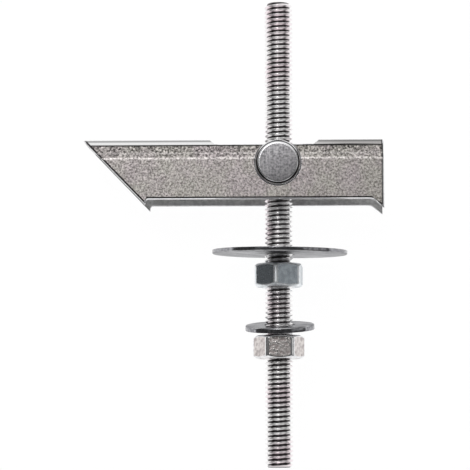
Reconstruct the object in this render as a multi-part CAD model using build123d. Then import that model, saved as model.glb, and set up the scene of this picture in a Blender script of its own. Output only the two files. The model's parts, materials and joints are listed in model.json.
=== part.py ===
from build123d import *
import math
import os

# A gravity toggle bolt: a threaded rod that carries a tilting channel on a round nut,
# and below it a large washer, a hex nut, a small washer and a second hex nut.
# Lengths are in millimetres and angles in degrees.
#
# Every piece is first made upright: the rod runs along Z, the pivot of the channel is
# at the origin, the long arm points to -X, and heights are measured from the pivot.
# At the end the whole bolt is laid down in the pose in which it comes to rest.

# Threaded rod, at the outer diameter of its thread
rod_diameter = 6.0
rod_length = 100.0
rod_above_pivot = 35.5
rod_end_chamfer = 0.7

# Channel, folded from one sheet
sheet_thickness = 1.4
channel_width = 15.0
web_height = 5.1
wall_depth = 7.8
crease_height = 0.9
crease_radius = 1.8
wall_lean = 16.0
bend_radius = 1.9
long_arm = 41.8
short_arm = 22.45
end_cut_angle = 46.0

# Teeth that dig into the wall board: one at each end of each side wall
long_tooth_drop = 1.15
long_tooth_root = 1.25
long_tooth_radius = 0.6
short_tooth_drop = 1.95
short_tooth_angle = 39.0
short_tooth_radius = 2.0

# Window for the rod, cut through the web and both bends
window_long_side = 14.0
window_short_side = 8.1
window_floor_height = 4.0
window_slant = 45.0
window_corner_radius = 0.5

# Round nut that is the pivot of the channel
barrel_diameter = 9.6
barrel_stick_out = 1.0
barrel_chamfer = 0.9
barrel_chamfer_depth = 0.6
pivot_clearance = 0.1

# Hex nuts
nut_across_flats = 9.8
nut_height = 5.0
nut_chamfer_angle = 30.0
nut_washer_face = 9.3
thread_clearance = 0.05
countersink_depth = 0.45

# Washers
large_washer_diameter = 29.0
large_washer_thickness = 0.9
small_washer_diameter = 14.8
small_washer_thickness = 1.1
washer_play = 0.3
washer_contact_gap = 0.08
washer_edge_radius = 0.25

# Places along the rod, measured down from the pivot
large_washer_drop = 18.6
upper_nut_drop = 21.05
small_washer_drop = 34.6
lower_nut_drop = 36.4

# How each loose piece happens to be turned about the rod, or tipped on it
upper_nut_angle = 24.1
lower_nut_angle = 3.7
large_washer_tip_angle = 1.7
large_washer_side_angle = -0.5
small_washer_tip_angle = 9.2
small_washer_side_angle = 1.3

# Sizes that follow from those above
rod_radius = rod_diameter / 2
barrel_length = channel_width + 2 * barrel_stick_out
pivot_hole_diameter = barrel_diameter + 2 * pivot_clearance
threaded_bore = rod_diameter + 2 * thread_clearance
washer_bore = rod_diameter + 2 * washer_play
washer_slip = washer_play - washer_contact_gap
beyond = channel_width + long_arm + short_arm
lower_rim, upper_rim = 0, -1


def make_rod():
    """The rod, chamfered at both ends."""
    middle = rod_above_pivot - rod_length / 2
    rod = Pos(0, 0, middle) * Cylinder(rod_radius, rod_length)
    return chamfer(rod.edges().filter_by(GeomType.CIRCLE), rod_end_chamfer)


def sheet_section():
    """The folded sheet seen along the arm: upright walls that lean in above the crease."""
    half = channel_width / 2
    lean_in = (web_height - crease_height) * math.tan(math.radians(wall_lean))
    below = wall_depth + long_tooth_drop + short_tooth_drop + 2 * sheet_thickness
    outline = Polyline(
        (-half, -below),
        (-half, crease_height),
        (-half + lean_in, web_height),
        (half - lean_in, web_height),
        (half, crease_height),
        (half, -below),
        close=True,
    )
    outside = Plane.YZ * make_face(outline)
    by_height = outside.vertices().sort_by(Axis.Z)
    outside = fillet(by_height[-2:], bend_radius)
    creases = outside.vertices().filter_by_position(
        Axis.Z, crease_height - sheet_thickness / 2, crease_height + sheet_thickness / 2
    )
    outside = fillet(creases, crease_radius)
    inside = offset(outside, amount=-sheet_thickness, kind=Kind.INTERSECTION)
    return outside - inside


def window_slant_run():
    """Half the run of the slanted corner at each end of the window."""
    rise = web_height - window_floor_height
    return rise / math.tan(math.radians(window_slant)) / 2


def side_outline():
    """The channel seen from the side: slanted long end, toothed lower edge, window."""
    tooth_tip = -(wall_depth + long_tooth_drop)
    cut_slope = math.tan(math.radians(end_cut_angle))
    tooth_x = (web_height - tooth_tip) / cut_slope - long_arm
    root_x = (web_height + wall_depth) / cut_slope - long_arm + long_tooth_root
    ramp = short_tooth_drop / math.tan(math.radians(short_tooth_angle))
    slant = window_slant_run()
    outline = Polyline(
        (-long_arm, web_height),
        (tooth_x, tooth_tip),
        (root_x, -wall_depth),
        (short_arm - ramp, -wall_depth),
        (short_arm, -wall_depth - short_tooth_drop),
        (short_arm, web_height),
        (window_short_side + slant, web_height),
        (window_short_side - slant, window_floor_height),
        (slant - window_long_side, window_floor_height),
        (-slant - window_long_side, web_height),
        close=True,
    )
    side = Plane.XZ * make_face(outline)

    def corner(x, z):
        return side.vertices().sort_by_distance((x, 0, z))[0]

    side = fillet(corner(root_x, -wall_depth), long_tooth_radius)
    side = fillet(corner(short_arm - ramp, -wall_depth), short_tooth_radius)
    for x in (window_short_side - slant, slant - window_long_side):
        side = fillet(corner(x, window_floor_height), window_corner_radius)
    return side


def window_between_walls():
    """The web's share of the window, cleared as far as the inner faces of the walls."""
    lean = math.radians(wall_lean)
    inner_half = channel_width / 2 - sheet_thickness / math.cos(lean)

    def inner_face(height):
        return inner_half - (height - crease_height) * math.tan(lean)

    low = window_floor_height - sheet_thickness
    high = web_height + sheet_thickness
    outline = Polyline(
        (-inner_face(low), low),
        (-inner_face(window_floor_height), window_floor_height),
        (-inner_face(window_floor_height), high),
        (inner_face(window_floor_height), high),
        (inner_face(window_floor_height), window_floor_height),
        (inner_face(low), low),
        close=True,
    )
    slot = extrude(
        Plane.YZ * make_face(outline),
        amount=window_long_side + window_short_side + 2 * window_slant_run(),
        dir=(1, 0, 0),
    )
    return Pos(-window_long_side - window_slant_run(), 0, 0) * slot


def make_channel():
    """The folded channel, with a pivot hole in each side wall."""
    blank = Pos(-long_arm, 0, 0) * extrude(
        sheet_section(), amount=long_arm + short_arm, dir=(1, 0, 0)
    )
    cut_to = extrude(side_outline(), amount=channel_width, both=True)
    pivot_holes = Rot(X=90) * Cylinder(pivot_hole_diameter / 2, beyond)
    return (blank & cut_to) - window_between_walls() - pivot_holes


def countersink(diameter):
    """The cone that opens one end of a threaded bore, with its mouth at the origin."""
    mouth = diameter / 2 + countersink_depth
    cone = Cone(diameter / 2, mouth, countersink_depth)
    return Pos(0, 0, -countersink_depth / 2) * cone


def make_barrel_nut():
    """The turned pivot: a short round bar with the rod's threaded bore across it."""
    bar = Rot(X=90) * Cylinder(barrel_diameter / 2, barrel_length)
    ends = bar.faces().sort_by(Axis.Y)
    for end in (ends[0], ends[-1]):
        rim = end.edges().filter_by(GeomType.CIRCLE)
        bar = chamfer(rim, barrel_chamfer_depth, barrel_chamfer, reference=end)
    bore = Cylinder(threaded_bore / 2, beyond)
    upper_mouth = Pos(0, 0, barrel_diameter / 2) * countersink(threaded_bore)
    lower_mouth = Rot(X=180) * upper_mouth
    return bar - bore - upper_mouth - lower_mouth


def make_nut(drop, angle):
    """A hex nut with both ends turned to a cone. Its top is at the given drop."""
    corner_radius = nut_across_flats / math.sqrt(3)
    prism = extrude(RegularPolygon(corner_radius, 6), amount=nut_height)
    face_radius = nut_washer_face / 2
    cone_height = (corner_radius - face_radius) * math.tan(math.radians(nut_chamfer_angle))
    turned = Polyline(
        (0, 0),
        (face_radius, 0),
        (corner_radius, cone_height),
        (corner_radius, nut_height - cone_height),
        (face_radius, nut_height),
        (0, nut_height),
        close=True,
    )
    prism = prism & revolve(Plane.XZ * make_face(turned), Axis.Z)
    bore = Cylinder(threaded_bore / 2, beyond)
    upper_mouth = Pos(0, 0, nut_height) * countersink(threaded_bore)
    lower_mouth = Rot(X=180) * countersink(threaded_bore)
    nut = prism - bore - upper_mouth - lower_mouth
    return Pos(0, 0, -drop - nut_height) * Rot(Z=angle) * nut


def make_washer(diameter, thickness, drop, rolled_rim, tip_angle, side_angle):
    """A flat washer, tipped on the rod and slipped sideways until it all but touches it.

    The punch rolls its rim round on one side and leaves it square on the other.
    """
    disc = Cylinder(diameter / 2, thickness)
    rims = disc.edges().filter_by(GeomType.CIRCLE).sort_by(Axis.Z)
    disc = fillet(rims[rolled_rim], min(washer_edge_radius, thickness / 2))
    washer = disc - Cylinder(washer_bore / 2, beyond)
    tipped = Rot(X=tip_angle, Y=-side_angle) * washer
    return Pos(washer_slip, 0, -drop) * tipped


def resting_angles():
    """The tilt of the rod and its roll when the bolt lies on a table.

    It stands on three points: the rim of the rod's top end, the rim of the large
    washer, and the crease of the far side wall at the end of the long arm.
    """
    rod_point = rod_above_pivot - rod_end_chamfer
    tip = math.radians(large_washer_tip_angle)
    radius = large_washer_diameter / 2
    half_thickness = large_washer_thickness / 2
    rim_point = radius * math.sin(tip) + half_thickness * math.cos(tip) - large_washer_drop
    rim_radius = radius * math.cos(tip) - half_thickness * math.sin(tip)
    slope = (rim_radius - rod_radius) / (rod_point - rim_point)
    reach = long_arm - (web_height - crease_height) / math.tan(math.radians(end_cut_angle))
    half = channel_width / 2
    table_depth = rod_radius + (rod_point - crease_height) * slope
    roll = math.asin(table_depth / math.hypot(reach, half)) - math.atan2(half, reach)
    return math.degrees(math.atan(slope)), math.degrees(roll)


upright = {
    "threaded_rod": make_rod(),
    "toggle_channel": make_channel(),
    "barrel_nut": make_barrel_nut(),
    "large_washer": make_washer(
        large_washer_diameter,
        large_washer_thickness,
        large_washer_drop,
        lower_rim,
        large_washer_tip_angle,
        large_washer_side_angle,
    ),
    "upper_nut": make_nut(upper_nut_drop, upper_nut_angle),
    "small_washer": make_washer(
        small_washer_diameter,
        small_washer_thickness,
        small_washer_drop,
        upper_rim,
        small_washer_tip_angle,
        small_washer_side_angle,
    ),
    "lower_nut": make_nut(lower_nut_drop, lower_nut_angle),
}

# The bolt is laid with the rod along Y and its top end forward, one side wall up.
# The origin is under the middle of its box, on the table.
tilt, roll = resting_angles()
lying = Rot(X=-90 - tilt) * Rot(Z=-roll)
box = Compound([lying * piece for piece in upright.values()]).bounding_box()
on_table = Pos(-box.center().X, -box.center().Y, -box.min.Z)
resting_place = on_table * lying
pieces = {name: resting_place * piece for name, piece in upright.items()}

os.makedirs("parts", exist_ok=True)
for name, piece in pieces.items():
    export_step(piece, f"parts/{name}.step")
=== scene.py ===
# %% [markdown]
# # A gravity toggle bolt, dressed for the camera
# The bolt holds things on a hollow wall. A threaded rod carries a folded channel that
# tilts on a round nut, a wide washer, a hex nut, a small washer and a second hex nut.
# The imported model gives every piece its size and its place. This script gives each one
# its real surface: rolled threads, soft pressed edges and several kinds of zinc plate.
#
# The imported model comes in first, because every other step measures it.

import json
import math

import bmesh
import bpy
from mathutils import Matrix, Vector


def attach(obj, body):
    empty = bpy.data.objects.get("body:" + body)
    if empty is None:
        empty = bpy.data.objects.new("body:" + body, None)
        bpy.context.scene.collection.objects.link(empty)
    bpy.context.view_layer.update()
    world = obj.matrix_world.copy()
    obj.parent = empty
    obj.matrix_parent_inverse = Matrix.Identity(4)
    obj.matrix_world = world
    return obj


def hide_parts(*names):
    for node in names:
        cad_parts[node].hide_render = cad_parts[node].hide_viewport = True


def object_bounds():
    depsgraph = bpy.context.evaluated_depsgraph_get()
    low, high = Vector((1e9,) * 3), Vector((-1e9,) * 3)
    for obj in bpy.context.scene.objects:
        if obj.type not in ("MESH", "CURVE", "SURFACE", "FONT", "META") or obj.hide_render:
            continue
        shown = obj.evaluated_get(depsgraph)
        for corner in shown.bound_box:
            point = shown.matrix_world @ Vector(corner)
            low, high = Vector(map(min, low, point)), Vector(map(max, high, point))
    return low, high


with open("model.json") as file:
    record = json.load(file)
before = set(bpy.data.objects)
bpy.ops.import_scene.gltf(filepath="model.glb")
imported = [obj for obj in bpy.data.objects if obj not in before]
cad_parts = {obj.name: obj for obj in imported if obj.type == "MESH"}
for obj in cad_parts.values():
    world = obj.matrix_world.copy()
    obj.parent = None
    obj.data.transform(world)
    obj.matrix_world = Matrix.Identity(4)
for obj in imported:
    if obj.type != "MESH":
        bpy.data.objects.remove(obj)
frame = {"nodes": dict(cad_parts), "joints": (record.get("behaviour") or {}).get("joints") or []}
cad_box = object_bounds()
print("CAD box in mm:", [[round(side * 1000, 2) for side in corner] for corner in cad_box])

# %% [markdown]
# ## The bolt's own axes
# The bolt lies tilted on the table, which is awkward to model in. Its joints say where
# its own axes run: one slides along the rod, one turns about the pivot. From them comes
# one matrix that lays an upright bolt, measured in millimetres from its pivot, down in
# its resting place. Each piece is made upright, and this matrix places its vertices.

# %% Upright millimetres to the table
MM = 0.001
SAME_PLACE = 0.01
joints = {joint["name"]: joint for joint in frame["joints"]}
pivot = Vector(joints["arm_tilt"]["pos_m"])
up_rod = Vector(joints["barrel_travel"]["axis"]).normalized()
across = Vector(joints["arm_tilt"]["axis"]).normalized()
along_arm = across.cross(up_rod).normalized()
axes = Matrix((along_arm, across, up_rod)).transposed()
lay_down = Matrix.Translation(pivot) @ axes.to_4x4() @ Matrix.Scale(MM, 4)
stand_up = lay_down.inverted()


def upright_points(node):
    """The corners of a CAD node, in upright millimetres."""
    return [stand_up @ vertex.co for vertex in frame["nodes"][node].data.vertices]


def heights(node):
    """The lowest and the highest point of a CAD node along the rod."""
    levels = [point.z for point in upright_points(node)]
    return min(levels), max(levels)


def radii_at(node, level):
    """The smallest and largest distance from the rod's axis at one height of a node."""
    there = [point for point in upright_points(node) if abs(point.z - level) < SAME_PLACE]
    radii = [point.xy.length for point in there]
    return min(radii), max(radii)


rod_low, rod_high = heights("threaded_rod")
rod_radius = max(point.xy.length for point in upright_points("threaded_rod"))
rod_end_radius = radii_at("threaded_rod", rod_high)[1]
print(f"Rod: {rod_high - rod_low:.1f} mm long, {2 * rod_radius:.2f} mm across")

# %% [markdown]
# ## Helpers for meshes
# Nearly every piece here was turned, rolled or punched, so most of them are an outline
# spun about an axis. Real edges are never perfectly sharp. A small arc on each corner
# catches a thin line of light, and that line is what makes metal look like metal. The
# shading is weighted by face area, so that only these soft edges look curved.

# %% Outlines, spinning and placing
FULL_TURN = 2 * math.pi
MERGE_DISTANCE = 0.0002
SHARP_ANGLE = math.radians(35)


def round_off(outline, radii, steps=4):
    """Replaces each inner corner of an open outline of (radius, height) by an arc."""
    points = [Vector(point) for point in outline]
    soft = [points[0]]
    for before, corner, after, radius in zip(points, points[1:], points[2:], radii):
        back = (before - corner).normalized()
        onward = (after - corner).normalized()
        half = back.angle(onward) / 2
        centre = corner + (back + onward).normalized() * radius / math.sin(half)
        start = corner + back * radius / math.tan(half)
        end = corner + onward * radius / math.tan(half)
        for step in range(steps + 1):
            chord = start.lerp(end, step / steps) - centre
            soft.append(centre + chord.normalized() * radius)
    return soft + [points[-1]]


def spin(bm, outline_at, angles):
    """Spins an outline about the Z axis. outline_at gives the outline at each angle."""
    columns = []
    for angle in angles:
        columns.append([
            bm.verts.new((radius * math.cos(angle), radius * math.sin(angle), height))
            for radius, height in outline_at(angle)
        ])
    for left, right in zip(columns, columns[1:] + columns[:1]):
        for row in range(len(left) - 1):
            bm.faces.new((left[row], right[row], right[row + 1], left[row + 1]))


def even_angles(count):
    """The given number of directions, evenly spread over one turn."""
    return [FULL_TURN * index / count for index in range(count)]


def new_object(name, data):
    """A new object in the scene."""
    made = bpy.data.objects.new(name, data)
    bpy.context.scene.collection.objects.link(made)
    return made


def seal(bm):
    """Welds the seams, closes what is open and turns every face outwards."""
    bmesh.ops.remove_doubles(bm, verts=bm.verts, dist=MERGE_DISTANCE)
    bmesh.ops.holes_fill(bm, edges=[edge for edge in bm.edges if edge.is_boundary], sides=0)
    bmesh.ops.recalc_face_normals(bm, faces=bm.faces)


def show(name, bm, node, *materials):
    """Lays a finished mesh down in place of its CAD node and gives it its finishes."""
    seal(bm)
    mesh = bpy.data.meshes.new(name)
    bm.to_mesh(mesh)
    bm.free()
    mesh.transform(lay_down)
    mesh.shade_smooth()
    mesh.set_sharp_from_angle(angle=SHARP_ANGLE)
    for material in materials:
        mesh.materials.append(material)
    piece = new_object(name, mesh)
    piece.modifiers.new("flat_faces", "WEIGHTED_NORMAL").keep_sharp = True
    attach(piece, node)
    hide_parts(node)
    print(f"{name}: {len(mesh.polygons)} faces")
    return piece


# %% [markdown]
# ## Helpers for finishes
# Every finish here is zinc over steel, so every material is a metal whose colour,
# roughness and fine relief change from place to place. Hex colours are what a colour
# picker shows, and a shader wants linear light, so one function turns one into the
# other. Patterns are measured in upright millimetres, so a grain of 0.4 is 0.4 mm wide
# on the steel, and it stays on the piece when the piece moves. The values of a noise
# crowd round its middle, so most patterns spread that middle out from 0 to 1. One helper
# adds every node. It puts ShaderNode before the kind, as all their names start with it.

# %% Colours, nodes and real-size patterns
MIDDLE_VALUES = {"From Min": 0.38, "From Max": 0.62}


def srgb(code):
    """An sRGB hex colour as linear red, green, blue and alpha."""
    linear = []
    for at in (1, 3, 5):
        share = int(code[at:at + 2], 16) / 255
        linear.append(share / 12.92 if share <= 0.04045 else ((share + 0.055) / 1.055) ** 2.4)
    return (*linear, 1.0)


def add_node(tree, kind, inputs=None, **settings):
    """Adds a node and sets it up. An input gets a value, an output or a node's first output."""
    node = tree.nodes.new("ShaderNode" + kind)
    for name, value in settings.items():
        setattr(node, name, value)
    for socket, value in (inputs or {}).items():
        if isinstance(value, bpy.types.Node):
            value = next(output for output in value.outputs if output.enabled)
        if isinstance(value, bpy.types.NodeSocket):
            tree.links.new(value, node.inputs[socket])
        else:
            node.inputs[socket].default_value = value
    return node


def empty_tree(block):
    """The node tree of a material or a world, with nothing in it."""
    block.use_nodes = True
    block.node_tree.nodes.clear()
    return block.node_tree


def new_finish(name):
    """An empty material, with the place on the upright bolt in mm as a vector."""
    material = bpy.data.materials.new(name)
    tree = empty_tree(material)
    place = add_node(tree, "TexCoord").outputs["Object"]
    upright = add_node(
        tree,
        "Mapping",
        {"Vector": place, "Location": pivot, "Rotation": axes.to_euler(), "Scale": (MM,) * 3},
        vector_type="TEXTURE",
    )
    return material, tree, upright


def near(tree, value, wanted, half_width, core=0.0):
    """A share that is 1 where a value is the wanted one, and 0 beyond a half width."""
    off = add_node(tree, "Math", {0: value, 1: wanted}, operation="SUBTRACT")
    distance = add_node(tree, "Math", {0: off}, operation="ABSOLUTE")
    return add_node(
        tree,
        "MapRange",
        {"Value": distance, "From Min": half_width, "From Max": core},
        interpolation_type="SMOOTHSTEP",
    )


def coat_with(tree, colour, roughness, relief, relief_depth_mm, edge_tint="#ffffff"):
    """Ends a finish: bare metal of that colour, with a fine relief of that depth."""
    bump = add_node(
        tree, "Bump", {"Height": relief, "Strength": 1.0, "Distance": relief_depth_mm * MM}
    )
    shader = add_node(
        tree,
        "BsdfPrincipled",
        {
            "Base Color": colour,
            "Metallic": 1.0,
            "Roughness": roughness,
            "Specular Tint": srgb(edge_tint),
            "Normal": bump,
        },
    )
    add_node(tree, "OutputMaterial", {"Surface": shader})


def coat_between(tree, share, tones, roughnesses, relief, relief_depth_mm, edge_tint="#ffffff"):
    """Ends a finish that a share takes from a dark dull tone to a light smooth one."""
    colour = add_node(
        tree, "Mix", {0: share, 6: srgb(tones[0]), 7: srgb(tones[1])}, data_type="RGBA"
    )
    roughness = add_node(
        tree, "MapRange", {"Value": share, "To Min": roughnesses[0], "To Max": roughnesses[1]}
    )
    coat_with(tree, colour, roughness, relief, relief_depth_mm, edge_tint)


def make_spotted_zinc(name, tones, spot_mm, spot_depth_mm, roughnesses):
    """Zinc in spots of a real size, between a dark dull tone and a light smooth one."""
    material, tree, place = new_finish(name)
    spots = add_node(tree, "TexNoise", {"Vector": place, "Scale": 1 / spot_mm, "Detail": 3.0})
    share = add_node(tree, "MapRange", {"Value": spots, **MIDDLE_VALUES})
    coat_between(tree, share, tones, roughnesses, spots, spot_depth_mm)
    return material


# %% [markdown]
# ## Finish of the channel: dull zinc plate on pressed sheet
# The channel was pressed from cold-rolled strip and barrel-plated with zinc. Tumbling
# in the barrel leaves the flats dull and finely pitted. A painted highlight runs along the
# crease on each side, and a fainter painted highlight above it. Above the crease the die
# struck the sheet and left it hammered. The bend was drawn round the die, so it is
# smooth. Its bands are painted reflections: a dark line at its foot and a grey band
# towards the web, and a painted highlight that is brighter on the long arm than on the
# short one. The passivating rinse dries in faint warm and cool clouds a few millimetres
# wide. Each pattern below has its size in millimetres, its detail and its roughness. The
# bands of the bend are given as degrees round it from its foot, each with its shade.

# %% Dull zinc plate
plate_patterns = {
    "grain": (0.42, 4.0, 0.7),
    "clouds": (5.0, 2.0, 0.5),
    "pits": (0.30, 2.0, 0.6),
    "flecks": (0.50, 3.0, 0.7),
}
dark_tones = ("#7f7979", "#7e7a75")
light_tones = ("#d6cdcd", "#d3cfc9")
hammered_shades = {"To Min": 0.15, "To Max": 1.20}
pit_depth_mm = 0.02
crease_level = 0.85
# Painted highlights: one along the crease and a fainter one above it.
crease_highlight_half_width = 0.38
second_highlight_level = 2.00
second_highlight_share = 0.5
bend_radius = 1.9
bend_foot = (math.radians(18), math.radians(26))
bend_top = (math.radians(88), math.radians(78))
# Painted reflection bands of the bend: a dark line at its foot, then a grey band.
painted_dark_foot = [(8, 1.0), (13, 0.5), (17, 0.08), (21, 0.10), (26, 0.9)]
painted_grey_band = [(44, 0.9), (52, 0.4), (80, 0.4), (88, 1.0)]
# The bend's painted highlight fades from the long arm to the short one along X.
bend_highlight_faint_x = 14.0
bend_highlight_full_x = -6.0
bend_roughness = 0.20
flat_roughnesses = {"To Min": 0.52, "To Max": 0.38}
web_level = heights("toggle_channel")[1]
hammering_foot = (crease_level, crease_level + 0.9)
hammering_top = (web_level - 0.1, web_level - 0.6)
channel_points = upright_points("toggle_channel")
web_points = [point for point in channel_points if web_level - point.z < SAME_PLACE]
web_half_width = max(abs(point.y) for point in web_points)
print("Web at", round(web_level, 2), "mm, half as wide as", round(web_half_width, 2), "mm")

# %% [markdown]
# A thin dark line is painted just inside the whole outline of a wall: a painted
# reflection of the dark room where the rolled edge begins. Each straight edge of a wall is
# kept as a point on it and the direction that leads into the sheet. A dot product with that
# direction says how far inside the edge a place lies. A tooth adds sheet below the lower
# edge, so there the larger of two distances counts; everywhere else the nearest edge does.

# %% Edges of the channel's walls
# Where the painted dark line lies inside the edges, and how wide it is.
painted_edge_line_distance = 0.36
painted_edge_line_core = 0.07
painted_edge_line_half_width = 0.20
below_the_holes = -7
low_levels = [round(point.z, 2) for point in channel_points if point.z < below_the_holes]
lower_edge_level = max(set(low_levels), key=low_levels.count)
lower_edge = [point for point in channel_points if abs(point.z - lower_edge_level) < 0.02]
long_tip = min(channel_points, key=lambda point: point.x)
short_end_x = max(point.x for point in channel_points)
long_tooth_tip = min((point for point in channel_points if point.x < 0), key=lambda point: point.z)
short_tooth_tip = min((point for point in channel_points if point.x > 0), key=lambda point: point.z)


def wall_edge(start, end, sideways):
    """A point on a straight edge of a wall, and the direction into the sheet."""
    inward = Vector((start.z - end.z, 0, end.x - start.x)).normalized()
    if inward.x * sideways < 0:
        inward.negate()
    return start.copy(), inward


slanted_end = wall_edge(long_tip, long_tooth_tip, 1)
long_tooth = wall_edge(min(lower_edge, key=lambda point: point.x), long_tooth_tip, -1)
short_tooth = wall_edge(max(lower_edge, key=lambda point: point.x), short_tooth_tip, 1)
short_end = Vector((short_end_x, 0, 0)), Vector((-1, 0, 0))
lower_line = Vector((0, 0, lower_edge_level)), Vector((0, 0, 1))
for start, inward in (slanted_end, long_tooth, short_tooth):
    print("Edge from", start.to_tuple(2), "inward", inward.to_tuple(2))


def inside_edge(tree, place, edge):
    """How far inside an edge a place on the wall lies, in millimetres."""
    corner, inward = edge
    offset = add_node(tree, "VectorMath", {0: place, 1: corner}, operation="SUBTRACT")
    return add_node(tree, "VectorMath", {0: offset, 1: inward}, operation="DOT_PRODUCT")


def choose(tree, operation, values):
    """The smallest or the largest of several values."""
    chosen = values[0]
    for other in values[1:]:
        chosen = add_node(tree, "Math", {0: chosen, 1: other}, operation=operation)
    return chosen


# %% [markdown]
# Now the plate itself. It is built up in layers: speckled steel that was struck above the
# crease, the drawn bend with its painted reflections, the painted dark edge line, and the
# painted crease highlights last. Each layer is a function that lays its colour over the
# one before. The steel is first.

# %% Speckled and struck steel
def between(tree, value, *limits):
    """A share that is 1 within two limits. A limit is where it is 0 and where it is 1."""
    rising, falling = [
        add_node(tree, "MapRange", {"Value": value, "From Min": start, "From Max": end})
        for start, end in limits
    ]
    return add_node(tree, "Math", {0: rising, 1: falling}, operation="MULTIPLY")


def struck_steel(tree, patterns, speckle, level):
    """Speckled, slightly cloudy zinc, hammered above the crease."""
    cloudiness = add_node(tree, "MapRange", {"Value": patterns["clouds"], **MIDDLE_VALUES})
    dark, light = [
        add_node(tree, "Mix", {0: cloudiness, 6: srgb(warm), 7: srgb(cool)}, data_type="RGBA")
        for warm, cool in (dark_tones, light_tones)
    ]
    plate = add_node(tree, "Mix", {0: speckle, 6: dark, 7: light}, data_type="RGBA")
    on_lean = between(tree, level, hammering_foot, hammering_top)
    hammered = add_node(
        tree, "MapRange", {"Value": patterns["flecks"], **MIDDLE_VALUES, **hammered_shades}
    )
    return add_node(
        tree, "Mix", {0: on_lean, 6: plate, 7: hammered}, data_type="RGBA", blend_type="MULTIPLY"
    )


# %% [markdown]
# A place on the bend is told by its angle round the bend's centre: 0 degrees is its foot
# on the wall and 90 degrees is the web. A colour ramp over this angle draws the bands,
# which are painted reflections.

# %% The drawn bend
def drawn_bend_with_painted_reflections(tree, split, struck):
    """The smooth bend with painted reflection bands and a painted highlight on the long arm, and a share
    that is 1 on it.
    """
    height_on_bend = add_node(
        tree, "Math", {0: split.outputs["Z"], 1: web_level - bend_radius}, operation="SUBTRACT"
    )
    from_middle = add_node(tree, "Math", {0: split.outputs["Y"]}, operation="ABSOLUTE")
    out_on_bend = add_node(tree, "Math", {0: from_middle, 1: web_half_width}, operation="SUBTRACT")
    round_the_bend = add_node(
        tree, "Math", {0: height_on_bend, 1: out_on_bend}, operation="ARCTAN2"
    )
    on_bend = between(tree, round_the_bend, bend_foot, bend_top)
    # A painted highlight on the bend, brighter on the long arm than on the short one.
    bend_highlight_share = add_node(
        tree,
        "MapRange",
        {"Value": split.outputs["X"], "From Min": bend_highlight_faint_x, "From Max": bend_highlight_full_x},
    )
    bend_highlight_colour = add_node(
        tree, "Mix", {0: bend_highlight_share, 6: srgb("#b6b4b3"), 7: srgb("#f6f6f6")}, data_type="RGBA"
    )
    drawn = add_node(tree, "Mix", {0: on_bend, 6: struck, 7: bend_highlight_colour}, data_type="RGBA")
    # The bands are painted reflections: a dark line at the foot and a grey band towards the web.
    quarter = add_node(tree, "MapRange", {"Value": round_the_bend, "From Max": math.radians(90)})
    bands = add_node(tree, "ValToRGB", {"Fac": quarter})
    stops = bands.color_ramp.elements
    stops.remove(stops[0])
    for index, (degrees, shade) in enumerate(painted_dark_foot + painted_grey_band):
        stop = stops[0] if index == 0 else stops.new(degrees / 90)
        stop.position = degrees / 90
        stop.color = (shade, shade, shade, 1.0)
    banded = add_node(
        tree, "Mix", {0: 1.0, 6: drawn, 7: bands}, data_type="RGBA", blend_type="MULTIPLY"
    )
    return banded, on_bend


# %% [markdown]
# The two kinds of painted line come last: the painted dark line inside the edges, and over it the painted
# crease highlights.

# %% Painted dark edge line and painted crease highlights
def paint_edge_line(tree, place, banded):
    """A painted dark line just inside the outline of a wall, a painted reflection of the dark room."""
    lower, ends = [
        [inside_edge(tree, place, edge) for edge in edges]
        for edges in ((lower_line, long_tooth, short_tooth), (short_end, slanted_end))
    ]
    to_edge = choose(tree, "MINIMUM", [choose(tree, "MAXIMUM", lower), *ends])
    # The painted dark line: a painted reflection of the dark room inside the edge.
    painted_edge_line = near(tree, to_edge, painted_edge_line_distance, painted_edge_line_half_width, painted_edge_line_core)
    return add_node(tree, "Mix", {0: painted_edge_line, 6: banded, 7: srgb("#2a2728")}, data_type="RGBA")


def paint_crease_highlights(tree, level, speckle, with_painted_edge_line):
    """Painted highlights on the crease and a fainter one above it, broken up by the speckles."""
    first = near(tree, level, crease_level, crease_highlight_half_width)
    second = near(tree, level, second_highlight_level, crease_highlight_half_width)
    fainter = add_node(tree, "Math", {0: second, 1: second_highlight_share}, operation="MULTIPLY")
    crease = choose(tree, "MAXIMUM", [first, fainter])
    # The painted crease highlight, broken up by the speckles.
    highlight_share = add_node(tree, "Math", {0: crease, 1: speckle}, operation="MULTIPLY")
    return add_node(tree, "Mix", {0: highlight_share, 6: with_painted_edge_line, 7: srgb("#dfdad8")}, data_type="RGBA")


# %% [markdown]
# The plate is these layers, one over another, with the pits as its relief.

# %% The plate
def make_dull_zinc_plate():
    """Dull zinc, layer by layer, with fine pits all over."""
    material, tree, place = new_finish("dull_zinc_plate")
    patterns = {
        name: add_node(
            tree,
            "TexNoise",
            {"Vector": place, "Scale": 1 / size_mm, "Detail": detail, "Roughness": roughness},
        )
        for name, (size_mm, detail, roughness) in plate_patterns.items()
    }
    speckle = add_node(tree, "MapRange", {"Value": patterns["grain"], **MIDDLE_VALUES})
    split = add_node(tree, "SeparateXYZ", {"Vector": place})
    level = split.outputs["Z"]
    struck = struck_steel(tree, patterns, speckle, level)
    banded, on_bend = drawn_bend_with_painted_reflections(tree, split, struck)
    with_painted_edge_line = paint_edge_line(tree, place, banded)
    colour = paint_crease_highlights(tree, level, speckle, with_painted_edge_line)
    flat_roughness = add_node(tree, "MapRange", {"Value": speckle, **flat_roughnesses})
    roughness = add_node(
        tree, "Mix", {0: on_bend, 2: flat_roughness, 3: bend_roughness}, data_type="FLOAT"
    )
    coat_with(tree, colour, roughness, patterns["pits"], pit_depth_mm)
    return material


dull_zinc_plate = make_dull_zinc_plate()
print("Material:", dull_zinc_plate.name)

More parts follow.
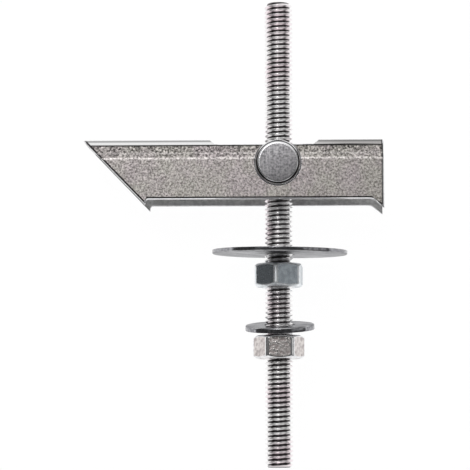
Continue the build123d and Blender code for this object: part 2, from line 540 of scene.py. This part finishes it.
# %% [markdown]
# The same sheet has three more surfaces. The inside was shielded from the tumbling and
# stayed smoother, and it is painted lighter than the outside as painted light on its
# shaded faces. The cut faces are torn steel with thin zinc, so they are darker. The
# rounded edges were rubbed by every other part in the barrel and are nearly polished.
# Such an edge bends its mirror image from the dark ceiling down to the bright window, so
# it draws a light line along the whole outline.

# %% Inside, cut faces and rubbed edges
# The inside is painted lighter, as painted light on the shaded inner faces.
inner_plate_painted_lighter = make_spotted_zinc("sheltered_zinc_painted_lighter", ("#d8d8d8", "#f2f2f2"), 0.8, 0.008, (0.42, 0.30))
cut_steel = make_spotted_zinc("sheared_steel_face", ("#8f8e92", "#c2c1c4"), 0.4, 0.008, (0.40, 0.28))
rubbed_edge = make_spotted_zinc("rubbed_edge_zinc", ("#dcdcde", "#f2f2f2"), 0.8, 0.001, (0.18, 0.12))
print("Materials:", inner_plate_painted_lighter.name, cut_steel.name, rubbed_edge.name)

# %% [markdown]
# ## The channel
# One strip of 1.4 mm steel, folded into a U with a crease along each side. The CAD mesh
# already has the fold, the window and the teeth, but its edges are razor sharp. Its
# triangles are first merged back into whole faces. Shears roll the edge over on the
# side where the blade enters and leave a sharp burr on the other. So the bevel is
# weighted: wide on the outer edges, narrow on the inner ones. Weights are shares of the
# widest roll. Edges that run on into each other share one weight, because a bevel whose
# width jumps at a corner throws out a spike there. The window's upper edges stay sharp.
# An edge is told from the others by where it lies and by the way its cut face looks.

# %% Channel with rolled-over edges
roll_over_mm = 0.40
roll_profile = 0.38
wall_edge_share = 0.7
slanted_end_share = 0.6
opening_share = 0.4
burr_share = 0.2
window_half_length = 18
window_foot_level = 3.3
web_edge_half_width = 5.2
window_slack = 0.5
web_slack = 0.1
hole_reach = 6
walls_beyond = 6
SQUARE_ON = 0.99
OUTER, INNER, CUT, EDGE = range(4)


def sheet_side(face):
    """Whether a face of the channel is its outer skin, its inner skin or a cut."""
    middle = face.calc_center_median()
    if abs(face.normal.y) > SQUARE_ON and middle.z > web_level / 2:
        return CUT
    if abs(face.normal.y) > 0.02:
        return OUTER if face.normal.y * middle.y > 0 else INNER
    if face.normal.z > SQUARE_ON and middle.z > web_level - web_slack:
        return OUTER
    if face.normal.z < -SQUARE_ON and middle.z > web_level / 2:
        return INNER
    return CUT


def roll_share(edge):
    """How wide an edge of the channel was rolled over, as a share of the widest."""
    cuts = [face for face in edge.link_faces if face.material_index == CUT]
    if len(cuts) != 1:
        return 0.0
    middle = (edge.verts[0].co + edge.verts[1].co) / 2
    at_window = abs(middle.x) < window_half_length and middle.z > window_foot_level - window_slack
    if any(face.material_index == INNER for face in edge.link_faces):
        return 0.0 if at_window and middle.z > window_foot_level else burr_share
    if at_window and (middle.z > web_level - web_slack or abs(middle.y) < web_edge_half_width):
        return 0.0
    at_hole = math.hypot(middle.x, middle.z) < hole_reach and abs(middle.y) > walls_beyond
    if at_window or at_hole:
        return opening_share
    facing = cuts[0].normal
    if facing.x < -0.5 and facing.z < -0.5:
        return slanted_end_share
    return wall_edge_share


def roll_edges_over(name, node):
    """A copy of the channel whose edges are rounded as the shears and barrel left them."""
    bm = bmesh.new()
    bm.from_mesh(frame["nodes"][node].data)
    bm.transform(stand_up)
    bmesh.ops.remove_doubles(bm, verts=bm.verts, dist=MERGE_DISTANCE)
    bmesh.ops.dissolve_limit(bm, angle_limit=math.radians(0.5), verts=bm.verts, edges=bm.edges)
    bm.normal_update()
    for face in bm.faces:
        face.material_index = sheet_side(face)
    weights = bm.edges.layers.float.new("bevel_weight_edge")
    for edge in bm.edges:
        edge[weights] = roll_share(edge)
    print("Rolled edges:", sum(1 for edge in bm.edges if edge[weights] > 0))
    piece = show(name, bm, node, dull_zinc_plate, inner_plate_painted_lighter, cut_steel, rubbed_edge)
    bevel = piece.modifiers.new("rolled_edges", "BEVEL")
    bevel.width = roll_over_mm * MM
    bevel.segments = 4
    bevel.profile = roll_profile
    bevel.limit_method = "WEIGHT"
    bevel.material = EDGE
    bevel.use_clamp_overlap = False
    piece.modifiers.move(1, 0)


roll_edges_over("pressed_channel", "toggle_channel")

# %% [markdown]
# ## Finish of the rod: bright zinc on a rolled thread
# A thread is rolled between dies, which polish its crests and flanks. The roots are
# painted dark: partly as painted shade in the grooves, and partly because the plating is
# thinner there and oil and dust collect in them. The colour follows the distance from the
# rod's axis, from the root to the crest. A metric thread is 0.6134 of its pitch deep.

# %% Bright zinc on a rolled thread
thread_pitch = 1.0
thread_depth = 0.6134 * thread_pitch
root_radius = rod_radius - thread_depth
root_softness = 0.25
tint_mm = 9.0
scuff_mm = 0.25


def make_rolled_thread_zinc():
    """Bright crests, roots painted dark, and a faint pink from the passivating rinse."""
    material, tree, place = new_finish("rolled_thread_zinc")
    split = add_node(tree, "SeparateXYZ", {"Vector": place})
    sideways = add_node(tree, "CombineXYZ", {"X": split.outputs["X"], "Y": split.outputs["Y"]})
    radius = add_node(tree, "VectorMath", {0: sideways}, operation="LENGTH")
    out_of_root = add_node(
        tree,
        "MapRange",
        {"Value": radius, "From Min": root_radius, "From Max": root_radius + root_softness},
        interpolation_type="SMOOTHSTEP",
    )
    tint = add_node(tree, "TexNoise", {"Vector": place, "Scale": 1 / tint_mm, "Detail": 1.0})
    tint_share = add_node(tree, "MapRange", {"Value": tint, "From Min": 0.45, "From Max": 0.62})
    crest = add_node(
        tree, "Mix", {0: tint_share, 6: srgb("#f6f5f5"), 7: srgb("#f2e9ec")}, data_type="RGBA"
    )
    # The roots are painted dark, partly as painted shade in the grooves.
    colour = add_node(tree, "Mix", {0: out_of_root, 6: srgb("#5a5657"), 7: crest}, data_type="RGBA")
    scuffs = add_node(tree, "TexNoise", {"Vector": place, "Scale": 1 / scuff_mm, "Detail": 3.0})
    roughness = add_node(tree, "MapRange", {"Value": scuffs, "To Min": 0.12, "To Max": 0.28})
    coat_with(tree, colour, roughness, scuffs, 0.01)
    return material


rolled_thread_zinc = make_rolled_thread_zinc()
print("Material:", rolled_thread_zinc.name)

# %% [markdown]
# ## The threaded rod
# A thread is a ridge that climbs one pitch in each turn. The grid below follows it: row
# after row climbs along the helix, so every crest and root is a clean edge and not a
# staircase. Rows that would run past an end are held at the end, where the chamfer is
# narrower than the thread, so the thread fades out there as it does on a cut rod. The
# rod's two flat ends were sheared, so they show the same torn steel as the channel's cuts.
# The profile gives shares of the pitch, each with a share of the depth.

# %% Rod with a true helical thread
half_profile = [
    (0.04, 0.0), (0.10, 0.04), (0.16, 0.16), (0.36, 0.82), (0.41, 0.93), (0.45, 0.98), (0.48, 1.0)
]
thread_profile = half_profile + [(1 - share, depth) for share, depth in reversed(half_profile)]


def add_thread(bm, angles, low, high, radius_at):
    """A right-hand thread. radius_at gives the radius for a height and a depth."""
    first = math.floor(low / thread_pitch) - 2
    last = math.ceil(high / thread_pitch) + 1
    columns = []
    for angle in [*angles, angles[0] + FULL_TURN]:
        column = []
        for turn in range(first, last):
            for share, depth in thread_profile:
                height = (turn + share + angle / FULL_TURN) * thread_pitch
                height = min(max(height, low), high)
                radius = radius_at(height, depth * thread_depth)
                place = radius * math.cos(angle), radius * math.sin(angle), height
                column.append(bm.verts.new(place))
        columns.append(column)
    for left, right in zip(columns, columns[1:]):
        for row in range(len(left) - 1):
            corners = left[row], right[row], right[row + 1], left[row + 1]
            if max(corner.co.z for corner in corners) > min(corner.co.z for corner in corners):
                bm.faces.new(corners)


def rod_radius_at(height, depth):
    """The rod's thread, cut off by the chamfer at each end."""
    to_end = min(rod_high - height, height - rod_low)
    return min(rod_radius - depth, rod_end_radius + to_end)


rod_mesh = bmesh.new()
add_thread(rod_mesh, even_angles(60), rod_low, rod_high, rod_radius_at)
rod = show("rolled_rod", rod_mesh, "threaded_rod", rolled_thread_zinc, cut_steel)
for face in rod.data.polygons:
    face.material_index = 1 if abs(face.normal.dot(up_rod)) > 0.999 else 0

# %% [markdown]
# ## Finish of the round nut: satin zinc on turned bar
# The round nut is a slug cut from bar. Its ends were sheared and tumbled, which leaves
# faint parallel streaks on a satin face. The streaks are a noise that is stretched along
# the shear, mixed with blotches. The strip of the washers needs the same, so one
# function makes both. It is told which of the two patterns stands up as the relief.

# %% Satin zinc on turned bar
def make_streaked_zinc(
    name, stretch, sizes_mm, blotch_share, values, tones, roughnesses, relief, edge_tint="#ffffff"
):
    """Zinc whose tone mixes streaks along one direction with blotches, in real sizes."""
    material, tree, place = new_finish(name)
    stretched = add_node(tree, "Mapping", {"Vector": place, "Scale": stretch}, vector_type="POINT")
    streaks, blotches = [
        add_node(tree, "TexNoise", {"Vector": vector, "Scale": 1 / size_mm, "Detail": 3.0})
        for vector, size_mm in zip((stretched, place), sizes_mm)
    ]
    mixed = add_node(tree, "Mix", {0: blotch_share, 2: streaks, 3: blotches}, data_type="FLOAT")
    share = add_node(
        tree, "MapRange", {"Value": mixed, "From Min": values[0], "From Max": values[1]}
    )
    raised, depth_mm = relief
    height = {"streaks": streaks, "blotches": blotches}[raised]
    coat_between(tree, share, tones, roughnesses, height, depth_mm, edge_tint)
    return material


satin_turned_zinc = make_streaked_zinc(
    "satin_turned_zinc",
    stretch=(1.0, 1.0, 1 / 9),
    sizes_mm=(0.35, 0.45),
    blotch_share=0.70,
    values=(0.36, 0.64),
    tones=("#757477", "#b3b1b3"),
    roughnesses=(0.48, 0.36),
    relief=("blotches", 0.02),
)
print("Material:", satin_turned_zinc.name)

# %% [markdown]
# The chamfers were turned, so they are smoother and brighter. One dark line is painted
# round each: a painted reflection of the dark room, which splits the chamfer's light ring
# into two light lines. It lies at one distance from the bar's axis.

# %% Bright zinc on a turned chamfer
haze_mm = 0.8
painted_chamfer_line_radius = 4.45
painted_chamfer_line_half_width = 0.20
painted_chamfer_line_core = 0.08


def make_turned_chamfer_zinc():
    """Bright zinc with one painted dark line round it, a painted reflection of the dark room."""
    material, tree, place = new_finish("turned_chamfer_zinc")
    haze = add_node(tree, "TexNoise", {"Vector": place, "Scale": 1 / haze_mm, "Detail": 2.0})
    in_end_plane = add_node(
        tree, "VectorMath", {0: place, 1: (1.0, 0.0, 1.0)}, operation="MULTIPLY"
    )
    radius = add_node(tree, "VectorMath", {0: in_end_plane}, operation="LENGTH")
    # The painted dark line, a painted reflection, at one distance from the bar's axis.
    painted_chamfer_line = near(tree, radius, painted_chamfer_line_radius, painted_chamfer_line_half_width, painted_chamfer_line_core)
    bright = add_node(
        tree, "Mix", {0: haze, 6: srgb("#dcdcde"), 7: srgb("#f6f6f7")}, data_type="RGBA"
    )
    colour = add_node(tree, "Mix", {0: painted_chamfer_line, 6: bright, 7: srgb("#1d1c1e")}, data_type="RGBA")
    roughness = add_node(tree, "MapRange", {"Value": haze, "To Min": 0.30, "To Max": 0.20})
    coat_with(tree, colour, roughness, haze, 0.001)
    return material


turned_chamfer_zinc = make_turned_chamfer_zinc()
print("Material:", turned_chamfer_zinc.name)

# %% [markdown]
# ## The round nut
# It is a bar spun about its own axis, and the rod's thread is tapped across it. The tap
# is made with the same thread as the rod, a hair wider, and a boolean cuts it out, so
# the rod's crests really sit in the nut's grooves.

# %% Round nut with a tapped cross bore
thread_gap = 0.04
countersink = 0.45
tap_overshoot = 0.5
bar_points = upright_points("barrel_nut")
bar_half_length = max(point.y for point in bar_points)
bar_radius = max(math.hypot(point.x, point.z) for point in bar_points)
end_points = [point for point in bar_points if bar_half_length - point.y < SAME_PLACE]
bar_end_radius = max(math.hypot(point.x, point.z) for point in end_points)
bar_side_end = max(
    point.y for point in bar_points if bar_radius - math.hypot(point.x, point.z) < SAME_PLACE
)
bar_end_softness = 0.50
bar_side_softness = 0.25


def bar_outline(angle):
    """Half of the bar seen from the side, end to end. It is the same at every angle."""
    outline = [
        (0, -bar_half_length),
        (bar_end_radius, -bar_half_length),
        (bar_radius, -bar_side_end),
        (bar_radius, bar_side_end),
        (bar_end_radius, bar_half_length),
        (0, bar_half_length),
    ]
    softness = [bar_end_softness, bar_side_softness, bar_side_softness, bar_end_softness]
    return round_off(outline, softness)


def tap_radius_at(height, depth):
    """The thread of the tap, with a cone that opens the bore at both ends."""
    cone = rod_radius + thread_gap + abs(height) - (bar_radius - countersink)
    return max(rod_radius + thread_gap - depth, cone)


def cut_away(bm, tool_bm):
    """Cuts one closed mesh out of another."""
    seal(bm)
    seal(tool_bm)
    made = []
    for name, source in (("blank", bm), ("tool", tool_bm)):
        mesh = bpy.data.meshes.new(name)
        source.to_mesh(mesh)
        source.free()
        made.append(new_object(name, mesh))
    blank, tool = made
    cut = blank.modifiers.new("cut", "BOOLEAN")
    cut.object = tool
    cut.operation = "DIFFERENCE"
    cut.solver = "EXACT"
    result = bmesh.new()
    result.from_object(blank, bpy.context.evaluated_depsgraph_get())
    for piece in made:
        bpy.data.objects.remove(piece)
    return result


bar_mesh = bmesh.new()
spin(bar_mesh, bar_outline, even_angles(128))
bar_mesh.transform(Matrix.Rotation(math.radians(-90), 4, "X"))
tap_mesh = bmesh.new()
tap_end = bar_radius + tap_overshoot
add_thread(tap_mesh, even_angles(64), -tap_end, tap_end, tap_radius_at)
tapped = cut_away(bar_mesh, tap_mesh)
tapped.normal_update()
for face in tapped.faces:
    face.material_index = 1 if 0.05 < abs(face.normal.y) < 0.999 else 0
show("round_nut", tapped, "barrel_nut", satin_turned_zinc, turned_chamfer_zinc)

# %% [markdown]
# ## Finish of the washers: bright zinc on punched strip
# A washer is punched from strip, so it has two surfaces. Its flats keep the skin of the
# strip under the zinc, with faint lines from the rolls. Its rim was sheared and then
# tumbled: it is smooth but grey, and mirrors the dark ceiling as a nearly black line.
# The rim gets a material of its own. The strip's edge tint is a light grey, because dull
# zinc stays a little grey where it is seen at a glancing angle.

# %% Strip zinc and punched rim
strip_zinc = make_streaked_zinc(
    "strip_zinc",
    stretch=(1 / 12, 1.0, 1.0),
    sizes_mm=(0.4, 3.0),
    blotch_share=0.5,
    values=(0.36, 0.62),
    tones=("#88888b", "#c9c9ca"),
    roughnesses=(0.34, 0.22),
    relief=("streaks", 0.006),
    edge_tint="#cacacc",
)
punched_rim_zinc = make_spotted_zinc("punched_rim_zinc", ("#77777b", "#a8a8ac"), 0.5, 0.003, (0.20, 0.12))
print("Materials:", strip_zinc.name, punched_rim_zinc.name)

# %% [markdown]
# ## The two washers
# Each is a flat ring. The punch rolls one rim round and leaves the other nearly square.
# The small washer lies a little tipped on the rod. Its tilt and its middle are read from
# the CAD node: the flat faces give the tilt, and the box about them gives the middle.

# %% Washers
rim_roll = 0.34
rim_burr = 0.05
bore_softness = 0.10
rim_depth = 0.02


def disc_place(node):
    """How a CAD disc lies, and its box when it is laid flat on its own middle."""
    facing_up = Vector()
    for face in frame["nodes"][node].data.polygons:
        normal = (stand_up.to_3x3() @ face.normal).normalized()
        if normal.z > 0.9:
            facing_up += normal * face.area
    tilt = Vector((0, 0, 1)).rotation_difference(facing_up.normalized()).to_matrix()
    flat = [tilt.inverted() @ point for point in upright_points(node)]
    low, high = [Vector([pick(values) for values in zip(*flat)]) for pick in (min, max)]
    middle = (low + high) / 2
    bore = min((point - middle).xy.length for point in flat)
    return tilt.to_4x4() @ Matrix.Translation(middle), (high - low) / 2, bore


def make_washer(name, node, rims):
    """A punched washer. rims gives how round its lower and its upper rim are."""
    place, half_size, bore = disc_place(node)
    outer, half = half_size.x, half_size.z
    outline = [(bore, 0), (bore, -half), (outer, -half), (outer, half), (bore, half), (bore, 0)]
    softened = round_off(outline, [bore_softness, *rims, bore_softness])
    bm = bmesh.new()
    spin(bm, lambda angle: softened, even_angles(160))
    seal(bm)
    for face in bm.faces:
        on_rim = face.calc_center_median().xy.length > outer - rim_depth
        face.material_index = 1 if on_rim else 0
    bm.transform(place)
    show(name, bm, node, strip_zinc, punched_rim_zinc)


make_washer("wide_washer", "large_washer", (rim_roll, rim_burr))
make_washer("narrow_washer", "small_washer", (rim_burr, rim_roll))

# %% [markdown]
# ## Finish of the hex nuts: cold-formed steel with zinc
# The two nuts come from different baths. The upper one was passivated blue, and its
# rubbed corners are paler than its flats. The lower one is plain zinc that has dulled to
# a warm grey, and one of its flats was knocked rough against other nuts in the barrel.
# That flat has a deeper relief, so it glitters where the others are even. No flat of the
# upper nut was knocked, so its third material is its first one again.

# %% Blue and warm zinc
blue_zinc = make_spotted_zinc("blue_passivated_zinc", ("#aab2b9", "#b9c1c7"), 0.9, 0.002, (0.28, 0.24))
warm_zinc = make_spotted_zinc("warm_dulled_zinc", ("#b6aead", "#e2dcd9"), 0.8, 0.010, (0.36, 0.28))
spotted_flat = make_spotted_zinc("knocked_flat_zinc", ("#b1a7a5", "#fdf9f6"), 0.7, 0.100, (0.50, 0.22))
blue_edge = make_spotted_zinc("blue_rubbed_edge_zinc", ("#eef3f6", "#fbfdff"), 0.9, 0.001, (0.42, 0.36))
print("Materials:", blue_zinc.name, warm_zinc.name, spotted_flat.name, blue_edge.name)

# %% [markdown]
# ## The two hex nuts
# A nut is a hexagon whose ends were turned to a flat cone, so each flat ends in an arc.
# Here it is spun like the round pieces, but with an outline that changes with the
# angle: it reaches further out at the corners, and there the cone cuts deeper. The
# angles are close together where a rounded corner meets a flat, so that the flat stays
# truly flat. The thread in the bore is the rod's, a hair wider, on the same helix.

# %% Hex nuts
cone_slope = math.tan(math.radians(30))
corner_rounding = 1.00
nut_edge_softness = 0.45
flat_steps = (-30, -28.2, -26.4, -24.6, -16, -8, 0, 8, 16, 24.6, 26.4, 28.2)
SIXTH_TURN = math.radians(60)
TWELFTH_TURN = math.radians(30)


def flat_direction(node):
    """The direction in which a flat of a hex nut faces, from its upright faces."""
    sine = cosine = 0
    for face in frame["nodes"][node].data.polygons:
        normal = (stand_up.to_3x3() @ face.normal).normalized()
        if abs(normal.z) < 0.05:
            direction = math.atan2(normal.y, normal.x)
            sine += face.area * math.sin(6 * direction)
            cosine += face.area * math.cos(6 * direction)
    return math.atan2(sine, cosine) / 6


def flat_distance(node, direction):
    """How far a flat of a hex nut lies from the rod's axis."""
    facing = Vector((math.cos(direction), math.sin(direction)))
    return max(point.xy.dot(facing) for point in upright_points(node))


def off_flat(direction, turned):
    """The angle between a direction and that of the nearest flat."""
    return abs((direction - turned + TWELFTH_TURN) % SIXTH_TURN - TWELFTH_TURN)


def hexagon_radius(from_flat, apothem):
    """How far out a hexagon with rounded corners reaches, at an angle from a flat."""
    flat_half_width = (apothem - corner_rounding) * math.tan(TWELFTH_TURN)
    if apothem * math.tan(from_flat) <= flat_half_width:
        return apothem / math.cos(from_flat)
    from_corner = TWELFTH_TURN - from_flat
    centre = (apothem - corner_rounding) / math.cos(TWELFTH_TURN)
    inside = corner_rounding ** 2 - (centre * math.sin(from_corner)) ** 2
    return centre * math.cos(from_corner) + math.sqrt(inside)


def rub_edges(bm, turned):
    """Marks the flats, the rubbed edges and the knocked flat of a hex nut."""
    seal(bm)
    for face in bm.faces:
        from_flat = off_flat(math.atan2(face.normal.y, face.normal.x), turned)
        on_flat = abs(face.normal.z) < 0.02 and from_flat < math.radians(1.5)
        on_end = abs(face.normal.z) > 0.999
        face.material_index = 0 if on_flat or on_end else 1
        if on_flat and face.normal.y < -0.95:
            face.material_index = 2


def make_hex_nut(name, node, *materials):
    """A threaded hex nut, with the materials of its flats, edges and knocked flat."""
    low, high = heights(node)
    mouth, face_radius = radii_at(node, high)
    turned = flat_direction(node)
    apothem = flat_distance(node, turned)

    def outline_at(angle):
        reach = hexagon_radius(off_flat(angle, turned), apothem)
        cone = (reach - face_radius) * cone_slope
        outline = [
            (mouth, low),
            (face_radius, low),
            (reach, low + cone),
            (reach, high - cone),
            (face_radius, high),
            (mouth, high),
        ]
        return round_off(outline, [nut_edge_softness] * 4, steps=3)

    def bore_radius_at(height, depth):
        to_end = min(high - height, height - low)
        return max(rod_radius + thread_gap - depth, mouth - to_end)

    sides = [turned + SIXTH_TURN * side for side in range(6)]
    angles = [side + math.radians(step) for side in sides for step in flat_steps]
    bm = bmesh.new()
    spin(bm, outline_at, angles)
    add_thread(bm, angles, low, high, bore_radius_at)
    rub_edges(bm, turned)
    print(f"{name}: {2 * apothem:.2f} mm across flats, {high - low:.2f} mm high")
    show(name, bm, node, *materials)


make_hex_nut("blue_hex_nut", "upper_nut", blue_zinc, blue_edge, blue_zinc)
make_hex_nut("warm_hex_nut", "lower_nut", warm_zinc, rubbed_edge, spotted_flat)

# %% [markdown]
# ## Table and room
# Metal shows its surroundings, so the room is half of its look. The bolt lies on a
# white table in a dim room: without something dark to mirror, bright zinc would look
# like white plastic. The table is a light table: a white glow under clear glass. It is
# white to the camera and in mirror images. To every other ray it is grey paper, so the
# bolt's underside isn't flooded with light, and a small share of real paper in the mix
# keeps a soft shadow on it. The camera looks through the glass at the white behind it,
# so the arm is still seen whole where it dips below the table at the end of a joint.

# %% Table
table_half_size = 3.0
shadow_share = 0.08
paper_brightness = 0.3
table_glow = (1 - shadow_share * paper_brightness) / (1 - shadow_share)


def make_table():
    """A large white sheet under the bolt."""
    mesh = bpy.data.meshes.new("table")
    ends = (-table_half_size, table_half_size)
    corners = [(x, y, cad_box[0].z) for x in ends for y in ends]
    mesh.from_pydata(corners, [], [(0, 2, 3, 1)])
    table = new_object("table", mesh)
    material = bpy.data.materials.new("white_paper")
    tree = empty_tree(material)
    paper = add_node(tree, "BsdfDiffuse", {"Color": srgb("#f2f2f2")})
    white = add_node(tree, "Emission", {"Color": srgb("#ffffff"), "Strength": table_glow})
    path = add_node(tree, "LightPath")
    rays = [path.outputs[f"Is {kind} Ray"] for kind in ("Camera", "Glossy", "Transmission")]
    seen = choose(tree, "MAXIMUM", rays)
    share = add_node(tree, "Math", {0: seen, 1: 1 - shadow_share}, operation="MULTIPLY")
    glass = add_node(tree, "BsdfTransparent", {"Color": srgb("#ffffff")})
    sheet = add_node(tree, "MixShader", {0: path.outputs["Is Camera Ray"], 1: white, 2: glass})
    both = add_node(tree, "MixShader", {0: share, 1: paper, 2: sheet})
    add_node(tree, "OutputMaterial", {"Surface": both})
    table.data.materials.append(material)


make_table()
print("Table at", round(cad_box[0].z * 1000, 3), "mm")

# %% [markdown]
# ## Light
# The world is the room: a dark ceiling, and a tall bright window beyond each end of the
# rod. A flat that faces the camera mirrors the ceiling and looks dark, and a rounded edge
# mirrors a window and looks light. The windows fade out at their tops and at their
# sides, and the one beyond the head of the rod reaches a little less high. Two soft
# lamps stand beside the table: the key lamp lights the walls of the channel, and a weak
# one lifts the right side. A lamp's power is worked out from its size and from how bright
# its face should look, where 1 is the brightness of white paper.

# %% Room and lamps
ceiling_brightness = 0.09
window_brightness = 1.0
window_top_z = 0.84
window_fade_z = 0.60
window_lean = 0.14
window_side_x = 0.75
window_side_fade_x = 0.45


def light_room():
    """A dim room with a tall window beyond each end of the rod."""
    world = bpy.data.worlds.new("room")
    bpy.context.scene.world = world
    tree = empty_tree(world)
    direction = add_node(tree, "TexCoord").outputs["Generated"]
    split = add_node(tree, "SeparateXYZ", {"Vector": direction})
    leaning = add_node(
        tree,
        "Math",
        {0: split.outputs["Y"], 1: -window_lean, 2: split.outputs["Z"]},
        operation="MULTIPLY_ADD",
    )
    lowness = add_node(
        tree,
        "MapRange",
        {"Value": leaning, "From Min": window_top_z, "From Max": window_fade_z},
        interpolation_type="SMOOTHSTEP",
    )
    sideways = add_node(tree, "Math", {0: split.outputs["X"]}, operation="ABSOLUTE")
    in_front = add_node(
        tree,
        "MapRange",
        {"Value": sideways, "From Min": window_side_x, "From Max": window_side_fade_x},
        interpolation_type="SMOOTHSTEP",
    )
    window = add_node(tree, "Math", {0: lowness, 1: in_front}, operation="MULTIPLY")
    strength = add_node(
        tree,
        "MapRange",
        {"Value": window, "To Min": ceiling_brightness, "To Max": window_brightness},
    )
    path = add_node(tree, "LightPath")
    seen_strength = add_node(
        tree,
        "Mix",
        {0: path.outputs["Is Camera Ray"], 2: strength, 3: table_glow},
        data_type="FLOAT",
    )
    background = add_node(tree, "Background", {"Color": srgb("#ffffff"), "Strength": seen_strength})
    add_node(tree, "OutputWorld", {"Surface": background})


def add_lamp(name, direction, distance, width, height, brightness):
    """A soft rectangular lamp that faces the bolt from a direction."""
    data = bpy.data.lights.new(name, "AREA")
    data.shape = "RECTANGLE"
    data.size = width
    data.size_y = height
    data.energy = brightness * math.pi * width * height
    lamp = new_object(name, data)
    towards = Vector(direction).normalized()
    lamp.location = towards * distance
    lamp.rotation_euler = towards.to_track_quat("Z", "Y").to_euler()


light_room()
add_lamp("key_lamp", (-0.20, 0.52, 0.83), distance=1.0, width=0.32, height=0.30, brightness=5.0)
add_lamp("right_lamp", (0.86, 0.10, 0.50), distance=1.0, width=0.40, height=0.80, brightness=0.42)

# %% [markdown]
# ## Camera
# The photograph looks square at the bolt's side from nearly half a metre, a little from
# the rod's tail and a little from the right. Both angles show in it: the far wall of the
# channel peeps out below the near one. A long lens fits the rod into the square frame.

# %% Camera
image_width_px = 470
focal_length_px = 2179.5
sensor_width_mm = 36.0
camera_distance_mm = 468.5
aim = Vector((-9.398, 0, -14.791))
from_tail = math.radians(5.471)
from_right = math.radians(2.259)


def place_camera():
    """A camera that sees the bolt as the photograph does."""
    forward = Vector((
        -math.sin(from_right) * math.cos(from_tail),
        math.cos(from_right) * math.cos(from_tail),
        math.sin(from_tail),
    ))
    image_right = Vector((math.cos(from_right), math.sin(from_right), 0))
    image_up = image_right.cross(forward)
    data = bpy.data.cameras.new("camera")
    data.sensor_width = sensor_width_mm
    data.lens = focal_length_px * sensor_width_mm / image_width_px
    data.clip_start = 0.01
    data.clip_end = 100
    camera = new_object("camera", data)
    turn = axes @ Matrix((image_right, image_up, -forward)).transposed()
    place = lay_down @ (aim - camera_distance_mm * forward)
    camera.matrix_world = Matrix.Translation(place) @ turn.to_4x4()
    bpy.context.scene.camera = camera
    print(f"Camera {camera.location.z * 1000:.0f} mm above the table, lens {data.lens:.0f} mm")


place_camera()

# %% [markdown]
# ## Finish
# The Standard view shows each colour as it is written.

# %% View
bpy.context.scene.view_settings.view_transform = "Standard"
